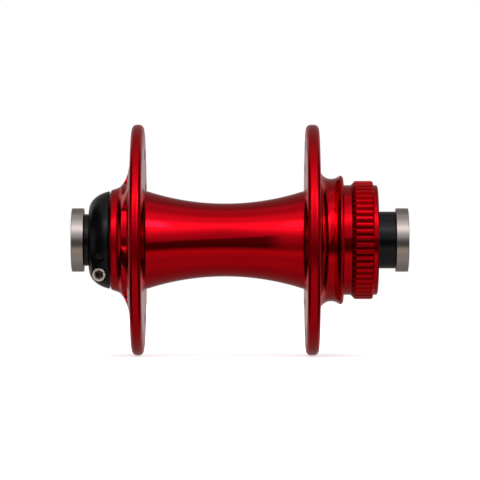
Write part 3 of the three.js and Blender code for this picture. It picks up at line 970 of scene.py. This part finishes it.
def adjusting_clamp():
    """The split clamp ring: domed outside, grooved inside, cut by its slit, screw hole and dimple."""
    outer, inner = CLAMP_LOW.y, CLAMP_HIGH.y
    dome = bezier(((9.6, outer), (12.0, outer + 0.4), (13.85, outer + 2.8), (CLAMP_R, inner - 0.25)), 28)
    o_ring_low, o_ring_high = millimetres("clamp_o_ring")
    groove = (o_ring_low.y + o_ring_high.y) / 2
    corners = [
        (CLAMP_BORE_R, outer, 0.25),
        *dome,
        (CLAMP_R, inner, 0.2),
        (CLAMP_BORE_R, inner, 0.25),
        (CLAMP_BORE_R, groove + 0.3),
        (CLAMP_BORE_R + 0.5, groove + 0.3),
        (CLAMP_BORE_R + 0.5, groove - 0.3),
        (CLAMP_BORE_R, groove - 0.3),
    ]
    clamp = ring_piece("adjusting_clamp_fine", corners, [BLACK_SATIN], 224, 4)
    fix_winding(clamp)
    seat_x = SCREW_HEAD_X[0] - 0.1
    side = math.sqrt(CLAMP_R ** 2 - SCREW_Z ** 2)
    at = (0, SCREW_Y, SCREW_Z)
    counterbore = rod(at, (1, 0, 0), [(2.35, seat_x), (2.35, side - 2.6), (2.75, side + 2)])
    hole = rod(at, (1, 0, 0), [(SCREW_SHANK_R + 0.1, -side - 2), (SCREW_SHANK_R + 0.1, seat_x + 0.5)])
    angle = math.radians(-22.5)
    outward = (math.cos(angle), 0, math.sin(angle))
    dimple = rod((0, -41.3, 0), outward, [(1.3, 12.8), (1.3, 13.1), (1.45, 15.5)])
    tools = [slit_cutter(), *[cutter(f"cutter_{i}", s) for i, s in enumerate((counterbore, hole, dimple))]]
    carve(clamp, tools)
    stands_for(clamp, "adjusting_clamp", "clamp_body")
    o_ring("clamp_o_ring", "clamp_body")


def hexagon():
    """The socket's six sides as a loop of (x, z), started where the round loops start."""
    corners = [math.radians(30 + 60 * k) for k in range(6)]
    loop = []
    for k, a in enumerate(corners):
        b = corners[(k + 1) % 6]
        for j in range(SOCKET_SIDE_STEPS):
            share = j / SOCKET_SIDE_STEPS
            x = SOCKET_R * (math.cos(a) * (1 - share) + math.cos(b) * share)
            z = SOCKET_R * (math.sin(a) * (1 - share) + math.sin(b) * share)
            loop.append((x, z))
    first = max(range(len(loop)), key=lambda k: loop[k][0])
    return loop[first:] + loop[:first]


def hexagon_socket(skin, angles, top):
    """The socket: a bevelled lip, six flat walls and a conical floor."""
    wall = hexagon()
    mouth = [about_y(SOCKET_R + SOCKET_LIP, top, a) for a in angles]
    lip = [(x, top - SOCKET_LIP, z) for x, z in wall]
    bevel = [about_y(-0.7, 0.7, a) for a in angles]
    skin.grid([mouth, lip], [[bevel, bevel]] * 2)
    floor_y = top - SOCKET_DEPTH
    foot = [(x, floor_y, z) for x, z in wall]
    bottom = skin.point((0, floor_y - 0.6, 0))
    sixth = math.radians(60)
    for j in range(SCREW_SEGMENTS):
        m = (j + 1) % SCREW_SEGMENTS
        middle = Vector((wall[j][0] + wall[m][0], 0, wall[j][1] + wall[m][1]))
        face_angle = sixth * round(math.atan2(middle.z, middle.x) / sixth)
        inward = (-math.cos(face_angle), 0, -math.sin(face_angle))
        corners = [skin.point(p) for p in (lip[j], lip[m], foot[m], foot[j])]
        # the walls and the floor take the dark brown painted as the socket's shade
        skin.face(corners, [inward] * 4, SOCKET_SHADE_FINISH)
        tilt = [Vector((-math.cos(angles[k]), 2.2, -math.sin(angles[k]))).normalized() for k in (j, m)]
        tip_normal = (tilt[0] + tilt[1]).normalized()
        skin.face([skin.point(foot[j]), skin.point(foot[m]), bottom], [*tilt, tip_normal], SOCKET_SHADE_FINISH)


def pinch_screw():
    """The screw, made along Y and then laid along X."""
    head_start, head_end = SCREW_HEAD_X
    head_r = (SCREW_HIGH.z - SCREW_LOW.z) / 2
    angles = even_angles(SCREW_SEGMENTS)
    skin = Skin()
    tip, thread_end = SCREW_LOW.x, head_start - 0.4
    thread(skin, SCREW_SHANK_R, tip + 0.25, thread_end, 0.45, 0.22, angles, 1)
    skin.turn(outline([(0.0, tip), (SCREW_SHANK_R - 0.25, tip), (SCREW_SHANK_R, tip + 0.25)]), angles)
    skin.turn(
        outline([
            (SCREW_SHANK_R, thread_end),
            (SCREW_SHANK_R, head_start),
            (head_r, head_start, 0.15),
            (head_r, head_end, 0.34),
            (SOCKET_R + SOCKET_LIP, head_end),
        ]),
        angles,
    )
    hexagon_socket(skin, angles, head_end)
    skin.points = [(y, SCREW_Y - x, SCREW_Z + z) for x, y, z in skin.points]
    skin.normals = [(n[1], -n[0], n[2]) for n in skin.normals]
    # the second material is a dark brown painted as the shade inside the socket
    made = skin.build("pinch_screw_fine", [SCREW_STEEL, SCREW_SOCKET_SHADE])
    stands_for(made, "pinch_screw", "pinch_screw_body")


# ---- cartridge bearings

BALL_R = 1.19
BALL_PITCH_R = 10.75
BALL_COUNT = 16
TRACK_R = 1.27
INNER_LAND_R = 9.9
OUTER_LAND_R = 11.6
SEAL_SEAT_R = 12.1
SEAL_LIP_R = 10.05
HALF_WIDTH = 2.5
RACE_BORE_R = 8.5
RACE_OUTER_R = 13.0
SEAL_GROOVE_R = 12.42


def track_arc(land, outward, count=12):
    """A ball track's arc, from below to above the balls' middle. outward is 1 in the outer race."""
    half = math.acos(abs(land - BALL_PITCH_R) / TRACK_R)
    arc = []
    for k in range(count + 1):
        angle = half * (2 * k / count - 1)
        arc.append((BALL_PITCH_R + outward * TRACK_R * math.cos(angle), TRACK_R * math.sin(angle)))
    return arc


def inner_race_outline():
    return [
        (RACE_BORE_R, -HALF_WIDTH, 0.25),
        (INNER_LAND_R, -HALF_WIDTH, 0.15),
        *track_arc(INNER_LAND_R, -1),
        (INNER_LAND_R, HALF_WIDTH, 0.15),
        (RACE_BORE_R, HALF_WIDTH, 0.25),
    ]


def outer_race_outline():
    return [
        (RACE_OUTER_R, -HALF_WIDTH, 0.25),
        (RACE_OUTER_R, HALF_WIDTH, 0.2),
        (SEAL_SEAT_R, HALF_WIDTH, 0.05),
        (SEAL_SEAT_R, 2.38),
        (SEAL_GROOVE_R, 2.38),
        (SEAL_GROOVE_R, 2.02),
        (SEAL_SEAT_R, 2.02),
        (SEAL_SEAT_R, 1.55),
        (OUTER_LAND_R, 1.55),
        *track_arc(OUTER_LAND_R, 1)[::-1],
        (OUTER_LAND_R, -1.75),
        (SEAL_SEAT_R, -1.75),
        (SEAL_SEAT_R, -HALF_WIDTH, 0.05),
    ]


def outer_seal_outline():
    """A rubber-faced seal: a lip at its inner edge and two moulded ribs on its outboard face."""
    face = 1.9
    ribs = []
    for r in (11.55, 10.75):
        ribs += [(r + 0.16, face), (r + 0.06, 1.98), (r - 0.06, 1.98), (r - 0.16, face)]
    return [
        (SEAL_LIP_R, 1.6),
        (SEAL_SEAT_R - 0.04, 1.6, 0.05),
        (SEAL_SEAT_R - 0.04, 1.98, 0.05),
        (11.85, 1.98),
        (11.78, face),
        *ribs,
        (10.3, face),
        (10.2, 1.98),
        (SEAL_LIP_R, 1.98, 0.08),
    ]


def inner_seal_outline():
    return [
        (SEAL_LIP_R, -2.3, 0.08),
        (10.4, -2.3),
        (10.5, -2.2),
        (11.7, -2.2),
        (11.8, -2.3),
        (SEAL_SEAT_R - 0.04, -2.3, 0.08),
        (SEAL_SEAT_R - 0.04, -1.8),
        (SEAL_LIP_R, -1.8),
    ]


def snap_ring_piece(name, y, side):
    """An open flat ring with rounded corners."""
    stations = outline(
        facing(side, [(11.2, 2.05, 0.06), (12.3, 2.05, 0.06), (12.3, 2.35, 0.06), (11.2, 2.35, 0.06)], y),
        closed=True,
        steps=3,
    )
    stations.append(stations[0])
    start, sweep, steps = math.radians(99), math.radians(342), 120
    angles = [start + sweep * k / steps for k in range(steps + 1)]
    skin = Skin()
    skin.turn(stations, angles, wrap=False)
    for a, sense in ((angles[0], -1), (angles[-1], 1)):
        end = [skin.point(about_y(s.r, s.y, a)) for s in stations[:-1]]
        skin.face(end, [(-sense * math.sin(a), 0, sense * math.cos(a))] * len(end))
    return skin.build(name, [BEARING_STEEL])


def cage_piece(name, y, side):
    """A ball cage. Known fault: on the adjuster's side the cuts leave 13 pegs where pockets belong."""
    cage = ring_piece(
        name,
        facing(side, [(SEAL_LIP_R, -1.65, 0.12), (11.4, -1.65, 0.12), (11.4, 0.75, 0.12),
                      (SEAL_LIP_R, 0.75, 0.12)], y),
        [NYLON], 128, 3,
    )
    fix_winding(cage)
    tools = []
    for k, angle in enumerate(even_angles(BALL_COUNT)):
        outward = (math.cos(angle), 0, math.sin(angle))
        tools.append(cutter(f"pocket_cutter_{k}", rod((0, y, 0), outward, [(1.32, 8.8), (1.32, 12.6)], 28)))
    carve(cage, tools)
    return cage


def ball_piece(name, y, angle):
    """A bearing ball, turned about its own axis."""
    half_circle = []
    for k in range(17):
        tilt = -math.pi / 2 + math.pi * k / 16
        normal = (math.cos(tilt), math.sin(tilt))
        half_circle.append(Station(BALL_R * normal[0], BALL_R * normal[1], normal, normal))
    skin = Skin()
    skin.turn(half_circle, even_angles(28))
    centre = Vector(about_y(BALL_PITCH_R, y, angle))
    skin.points = [tuple(centre + Vector(p)) for p in skin.points]
    return skin.build(name, [BEARING_STEEL])


def bearing(label, side):
    """A cartridge bearing's 22 pieces."""
    low, high = millimetres(f"{label}_inner_race")
    y = (low.y + high.y) / 2
    rings = (
        ("inner_race", inner_race_outline(), BEARING_STEEL, "axle_body", "bearing_steel"),
        ("outer_race", outer_race_outline(), BEARING_STEEL, "shell_body", "bearing_steel"),
        ("outer_seal", outer_seal_outline(), RUBBER, "shell_body", "seal_rubber"),
        ("inner_seal", inner_seal_outline(), RUBBER, "shell_body", "seal_rubber"),
    )
    for part, corners, material, body, slot in rings:
        node = f"{label}_{part}"
        made = ring_piece(f"{node}_fine", facing(side, corners, y), [material], 144, 3)
        stands_for(made, node, body)
    node = f"{label}_snap_ring"
    stands_for(snap_ring_piece(f"{node}_fine", y, side), node, "shell_body")
    node = f"{label}_ball_cage"
    stands_for(cage_piece(f"{node}_fine", y, side), node, f"{label}_ball_set")
    for k, angle in enumerate(even_angles(BALL_COUNT), start=1):
        node = f"{label}_ball_{k:02d}"
        stands_for(ball_piece(f"{node}_fine", y, angle), node, f"{label}_ball_set")


# ---- stage, light and camera

WHITE = (1.0, 1.0, 1.0, 1.0)
FLOOR_R = 0.8
CAMERA_DISTANCE = 1.0
CAMERA_LENS = 252.0

# how bright the studio is round the axle, by the angle up from the camera's side
STUDIO = (
    (-180, 0.40), (-160, 0.24), (-145, 0.18), (-118, 0.21), (-96, 0.24), (-86, 0.29), (-78, 0.335),
    (-66, 0.325), (-54, 0.32), (-46, 0.37), (-39, 0.45), (-33, 0.40), (-26, 0.22), (-14, 0.22), (-4, 0.35),
    (8, 0.37), (18, 0.42), (27, 0.58), (34, 0.84), (40, 1.20), (46, 1.52), (51, 1.28), (57, 0.93),
    (61, 0.80), (69, 0.78), (75, 0.61), (81, 0.46), (88, 0.42), (101, 0.42), (112, 0.22),
    (148, 0.19), (180, 0.40),
)
STUDIO_PEAK = 1.6
# its colour: warm from below, cool at the front, and faintly pink above
STUDIO_TINTS = (
    (-180, (1.0, 0.95, 0.92)), (-70, (1.0, 0.94, 0.90)), (-52, (1.0, 0.92, 0.84)), (-38, (1.0, 0.84, 0.69)),
    (-24, (1.0, 0.90, 0.84)), (-5, (0.95, 0.93, 1.0)), (20, (0.97, 0.93, 1.0)), (40, (1.0, 0.96, 0.95)),
    (180, (1.0, 0.95, 0.93)),
)


def camera():
    """The photograph's view, from +X."""
    data = bpy.data.cameras.new("camera")
    data.lens = CAMERA_LENS
    data.clip_start, data.clip_end = 0.05, 20
    placed = add_object("camera", data)
    placed.location = (CAMERA_DISTANCE, 0, 0)
    placed.rotation_euler = (math.radians(90), 0, math.radians(90))
    bpy.context.scene.camera = placed


class Graph:
    """Short calls for making shader nodes."""

    def __init__(self, tree):
        self.tree = tree
        tree.nodes.clear()

    def add(self, kind, settings=None, **inputs):
        node = self.tree.nodes.new(kind)
        for name, value in (settings or {}).items():
            setattr(node, name, value)
        for name, value in inputs.items():
            self.set(node, name.replace("_", " "), value)
        return node

    def set(self, node, name, value):
        socket = node.inputs[int(name)] if name.isdigit() else node.inputs[name]
        if isinstance(value, bpy.types.NodeSocket):
            self.tree.links.new(value, socket)
        else:
            socket.default_value = value

    def math(self, operation, a, b=0.0):
        node = self.tree.nodes.new("ShaderNodeMath")
        node.operation = operation
        self.set(node, "0", a)
        self.set(node, "1", b)
        return node.outputs[0]

    def product(self, first, *others):
        result = first
        for factor in others:
            result = self.math("MULTIPLY", result, factor)
        return result

    def fade(self, value, start, end, first=0.0, last=1.0):
        """A smooth step from first at start to last at end."""
        node = self.tree.nodes.new("ShaderNodeMapRange")
        node.interpolation_type = "SMOOTHSTEP"
        low_first = start < end
        ends = (start, end, first, last) if low_first else (end, start, last, first)
        for name, value_in in zip(("From Min", "From Max", "To Min", "To Max"), ends):
            node.inputs[name].default_value = value_in
        self.tree.links.new(value, node.inputs["Value"])
        return node.outputs["Result"]


HOT_STRENGTHS = (1.4, 4.0)
DARK_BAND_DEPTH = 0.76
SIDE_LOSS = 0.93
BACK_LIGHT = 0.3
POLE_LIGHT = 0.27


def colour_ramp(graph, turn, stops):
    """A colour by the angle round the axle, from stops of (degrees, colour) over the whole turn."""
    node = graph.add("ShaderNodeValToRGB", Fac=graph.math("ADD", turn, 0.5))
    elements = node.color_ramp.elements
    for degrees, colour in stops[1:-1]:
        elements.new(degrees / 360 + 0.5).color = (*colour, 1)
    for element, (_, colour) in ((elements[0], stops[0]), (elements[-1], stops[-1])):
        element.color = (*colour, 1)
    return node.outputs["Color"]


def soft_boxes(graph, side, turn):
    """The boxes all round the axle. The main one reaches lower towards the hub's ends."""
    reach = graph.product(graph.fade(turn, 52 / 360, 36 / 360), graph.fade(turn, -5 / 360, 10 / 360))
    bend = graph.product(side, reach, 29 / 360)
    levels = [(degrees, [level / STUDIO_PEAK] * 3) for degrees, level in STUDIO]
    return graph.product(colour_ramp(graph, graph.math("ADD", turn, bend), levels), STUDIO_PEAK)


def hot_boxes(graph, y, side, turn):
    """Two small boxes at the upper front corners, the brighter one on the rotor's side."""
    return graph.product(
        graph.fade(side, 0.34, 0.46),
        graph.fade(side, 0.66, 0.54),
        graph.fade(turn, 31 / 360, 38 / 360),
        graph.fade(turn, 54 / 360, 46 / 360),
        graph.fade(y, -0.2, 0.2, *HOT_STRENGTHS),
    )


def dark_band(graph, x, y, z):
    """What is left of the light in a dark band at the front, whose top edge slants down towards +Y."""
    slant = graph.math("ADD", z, graph.math("MULTIPLY", y, 0.32))
    dark = graph.product(
        graph.fade(y, -0.46, -0.30),
        graph.fade(y, 0.66, 0.56),
        graph.fade(x, 0.0, 0.3),
        graph.fade(z, -0.46, -0.32),
        graph.fade(slant, 0.16, 0.01),
    )
    return graph.math("SUBTRACT", 1.0, graph.product(dark, DARK_BAND_DEPTH))


def dim_ends(graph, x, side):
    """What is left of the light towards the hub's ends. Only well behind the hub is it not lost."""
    lost = graph.product(graph.fade(side, 0.53, 0.72, 0.0, SIDE_LOSS), graph.fade(x, -0.78, -0.45, 0.05, 1.0))
    return graph.math("SUBTRACT", 1.0, lost)


def studio_world():
    """Soft boxes round the hub, a dark band at its front, and a white backdrop for the camera."""
    world = bpy.data.worlds.new("studio")
    bpy.context.scene.world = world
    world.use_nodes = True
    graph = Graph(world.node_tree)
    place = graph.add("ShaderNodeTexCoord")
    split = graph.add("ShaderNodeSeparateXYZ", Vector=place.outputs["Generated"])
    x, y, z = (split.outputs[axis] for axis in "XYZ")
    side = graph.math("ABSOLUTE", y)
    turn = graph.math("DIVIDE", graph.math("ARCTAN2", z, x), TAU)

    boxes = graph.math("ADD", soft_boxes(graph, side, turn), hot_boxes(graph, y, side, turn))
    front = graph.product(boxes, dark_band(graph, x, y, z), dim_ends(graph, x, side))
    behind = graph.product(graph.fade(x, -0.45, -0.75), graph.fade(side, 0.35, 0.6), BACK_LIGHT)
    poles = graph.fade(side, 0.93, 0.99, 0.0, POLE_LIGHT)
    brightness = graph.math("ADD", graph.math("ADD", front, behind), poles)

    tint = colour_ramp(graph, turn, STUDIO_TINTS)
    lit = graph.add("ShaderNodeBackground", Color=tint, Strength=brightness)
    backdrop = graph.add("ShaderNodeBackground", Color=WHITE, Strength=1.0)
    mixed = graph.add("ShaderNodeMixShader")
    graph.set(mixed, "0", graph.add("ShaderNodeLightPath").outputs["Is Camera Ray"])
    graph.set(mixed, "1", lit.outputs[0])
    graph.set(mixed, "2", backdrop.outputs[0])
    graph.add("ShaderNodeOutputWorld", Surface=mixed.outputs[0])
    world.cycles.sampling_method = "MANUAL"
    world.cycles.sample_map_resolution = 512


def overhead_light():
    """A broad soft light over the floor. The metal's reflections come from the studio alone."""
    data = bpy.data.lights.new("overhead", "AREA")
    data.shape = "SQUARE"
    data.size = 2.4
    data.energy = 36
    placed = add_object("overhead", data)
    placed.location = (0.3, 0, 1.8)
    placed.visible_glossy = False


def floor():
    """A pale round floor, just below the flanges' rims."""
    skin = Skin()
    middle = skin.point((0, 0, 0))
    edge = [skin.point((x, y, 0)) for x, y in ring(FLOOR_R / MM, even_angles(96))]
    for j, here in enumerate(edge):
        skin.face([middle, edge[j - 1], here], [(0, 0, 1)] * 3)
    material = bpy.data.materials.new("floor")
    material.use_nodes = True
    graph = Graph(material.node_tree)
    shader = graph.add("ShaderNodeBsdfPrincipled", Base_Color=(0.86, 0.86, 0.86, 1), Roughness=0.9)
    shader.inputs["Emission Color"].default_value = WHITE
    shader.inputs["Emission Strength"].default_value = 0.6
    graph.add("ShaderNodeOutputMaterial", Surface=shader.outputs[0])
    made = skin.build("floor", [material])
    made.location.z = SHELL_LOW.z * MM - 0.0002
    made.visible_glossy = False


# ---- finishes

def turned_coordinates(graph):
    """Coordinates for lathe marks: the distance from the axle, and the place along it."""
    place = graph.add("ShaderNodeTexCoord").outputs["Object"]
    split = graph.add("ShaderNodeSeparateXYZ", Vector=place)
    x, y, z = (split.outputs[axis] for axis in "XYZ")
    square = graph.math("ADD", graph.math("MULTIPLY", x, x), graph.math("MULTIPLY", z, z))
    r = graph.math("SQRT", square)
    return place, graph.add("ShaderNodeCombineXYZ", X=r, Y=y).outputs[0]


def finish_material(name, tones, roughness, spread, metallic, grain=0.0, grain_scale=9000.0,
                    cloud_scale=90.0, pit=0.0, pit_scale=2500.0, extras=None):
    """A finish with lathe marks, fine pits, and soft variation of its colour and gloss."""
    material = bpy.data.materials.new(name)
    material.use_nodes = True
    graph = Graph(material.node_tree)
    place, lathe = turned_coordinates(graph)
    clouds = graph.add("ShaderNodeTexNoise", Vector=place, Scale=cloud_scale, Detail=4.0, Roughness=0.6)
    marks = graph.add("ShaderNodeTexNoise", Vector=lathe, Scale=grain_scale, Detail=3.0, Roughness=0.7)
    pits = graph.add("ShaderNodeTexNoise", Vector=place, Scale=pit_scale, Detail=2.0, Roughness=0.5)
    colour = graph.add("ShaderNodeMix", {"data_type": "RGBA"})
    graph.tree.links.new(clouds.outputs["Fac"], colour.inputs["Factor"])
    colour.inputs[6].default_value = (*tones[0], 1)
    colour.inputs[7].default_value = (*tones[1], 1)
    shader = graph.add("ShaderNodeBsdfPrincipled", Base_Color=colour.outputs[2], Metallic=metallic)
    blend = graph.math("ADD", graph.math("MULTIPLY", clouds.outputs["Fac"], 0.5),
                       graph.math("MULTIPLY", marks.outputs["Fac"], 0.5))
    gloss = graph.add("ShaderNodeMapRange", Value=blend)
    for socket, value in (("From Min", 0.3), ("From Max", 0.7), ("To Min", roughness - spread),
                          ("To Max", roughness + spread)):
        gloss.inputs[socket].default_value = value
    graph.set(shader, "Roughness", gloss.outputs["Result"])
    height = graph.math("ADD", graph.math("MULTIPLY", marks.outputs["Fac"], grain),
                        graph.math("MULTIPLY", pits.outputs["Fac"], pit))
    bump = graph.add("ShaderNodeBump", Height=height, Strength=1.0, Distance=0.00001)
    graph.set(shader, "Normal", bump.outputs[0])
    for socket, value in (extras or {}).items():
        shader.inputs[socket].default_value = value
    graph.add("ShaderNodeOutputMaterial", Surface=shader.outputs[0])
    return material


RED_COAT = {"Coat Weight": 0.05, "Coat Roughness": 0.05}
RED_POLISHED = finish_material("red_polished", ((0.82, 0.0015, 0.009), (0.77, 0.001, 0.011)), 0.06,
                               0.015, 1.0, grain=0.03, pit=0.02, extras=RED_COAT)
RED_TURNED = finish_material("red_turned", ((0.82, 0.0015, 0.009), (0.76, 0.001, 0.011)), 0.29, 0.03, 1.0,
                             grain=0.05, pit=0.02, extras=RED_COAT)
# a darker copy of the red, painted as shade in the spline's grooves and on the spoke holes' walls
RED_GROOVE_SHADE = finish_material("red_groove_painted_shade", ((0.2, 0.0006, 0.003), (0.13, 0.0004, 0.002)), 0.3, 0.05, 1.0,
                             grain=0.1, pit=0.1)
BLACK_ANODISED = finish_material("black_anodised", ((0.0012, 0.0011, 0.0016), (0.0024, 0.0022, 0.003)), 0.16,
                                 0.03, 0.0, grain=0.2, pit=0.25, pit_scale=4200.0, extras={"IOR": 1.4})
BLACK_SATIN = finish_material("black_satin", ((0.001, 0.001, 0.0014), (0.0018, 0.0017, 0.0023)), 0.2,
                              0.03, 0.0, grain=0.15, pit=0.4, pit_scale=4200.0, extras={"IOR": 1.34})
BARE_METAL = finish_material("bare_metal", ((0.66, 0.6, 0.57), (0.56, 0.5, 0.47)), 0.22, 0.05, 1.0,
                             grain=2.2, grain_scale=14000.0, pit=0.2)
SCREW_STEEL = finish_material("screw_steel", ((0.9, 0.82, 0.74), (0.8, 0.71, 0.62)), 0.34, 0.05, 0.55,
                              grain=0.5, pit=0.6)
# a dark brown painted as the shade inside the screw's hex socket
SCREW_SOCKET_SHADE = finish_material("screw_socket_shade", ((0.2, 0.15, 0.11), (0.1, 0.075, 0.055)), 0.3, 0.08, 0.8,
                               cloud_scale=1800.0, pit=2.0)
BEARING_STEEL = finish_material("bearing_steel", ((0.68, 0.69, 0.71), (0.6, 0.61, 0.64)), 0.13, 0.04, 1.0,
                                grain=0.4)
NYLON = finish_material("nylon", ((0.66, 0.6, 0.46), (0.6, 0.54, 0.4)), 0.55, 0.06, 0.0, pit=1.5)
RUBBER = finish_material("rubber", ((0.012, 0.012, 0.013), (0.02, 0.02, 0.021)), 0.72, 0.06, 0.0, pit=2.0)


# ---- the whole

camera()
studio_world()
overhead_light()
floor()
hub_shell()
axle()
adjusting_cone()
adjusting_clamp()
pinch_screw()
for label, side in (("adjuster", -1), ("disc", 1)):
    end_cap(label, side)
    bearing(label, side)

bpy.context.scene.view_settings.view_transform = "Standard"
